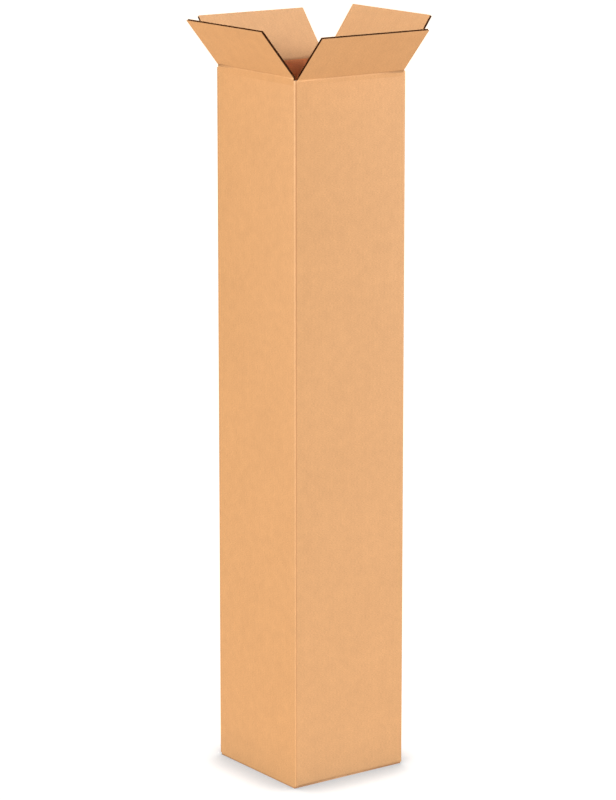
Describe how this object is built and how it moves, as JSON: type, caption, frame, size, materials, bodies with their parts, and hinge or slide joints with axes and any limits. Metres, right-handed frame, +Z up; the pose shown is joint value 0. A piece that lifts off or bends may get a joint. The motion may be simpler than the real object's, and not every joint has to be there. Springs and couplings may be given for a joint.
{
  "type": "tall corrugated shipping box",
  "caption": "Tall square shipping carton in plain kraft corrugated board, closed at the base, with hinged flaps standing open at the top.",
  "frame": {"origin": "on the floor at the centre of the box's base", "axes": "+Z up along the box; the walls that carry the outer flaps face +X and -X, and those that carry the inner flaps face +Y and -Y; the glued joint is inside the corner at +X and +Y"},
  "size_m": [0.3559, 0.3671, 1.3289],
  "materials": {
    "kraft_board": "matte"
  },
  "bodies": {
    "carton": {"carton": "kraft_board"},
    "left_flap": {"left_flap": "kraft_board"},
    "right_flap": {"right_flap": "kraft_board"},
    "front_flap": {"front_flap": "kraft_board"},
    "back_flap": {"back_flap": "kraft_board"}
  },
  "joints": [
    {"name": "left_flap_fold", "type": "hinge", "parent": "carton", "child": "left_flap", "pos_m": [-0.1161, 0, 1.24215], "axis": [0, 1, 0], "range_deg": [-141, 129]},
    {"name": "right_flap_fold", "type": "hinge", "parent": "carton", "child": "right_flap", "pos_m": [0.1161, 0, 1.24215], "axis": [0, -1, 0], "range_deg": [-145, 125]},
    {"name": "front_flap_fold", "type": "hinge", "parent": "carton", "child": "front_flap", "pos_m": [0, -0.1161, 1.23785], "axis": [-1, 0, 0], "range_deg": [-137, 133]},
    {"name": "back_flap_fold", "type": "hinge", "parent": "carton", "child": "back_flap", "pos_m": [0, 0.1161, 1.23785], "axis": [1, 0, 0], "range_deg": [-141, 129]}
  ]
}
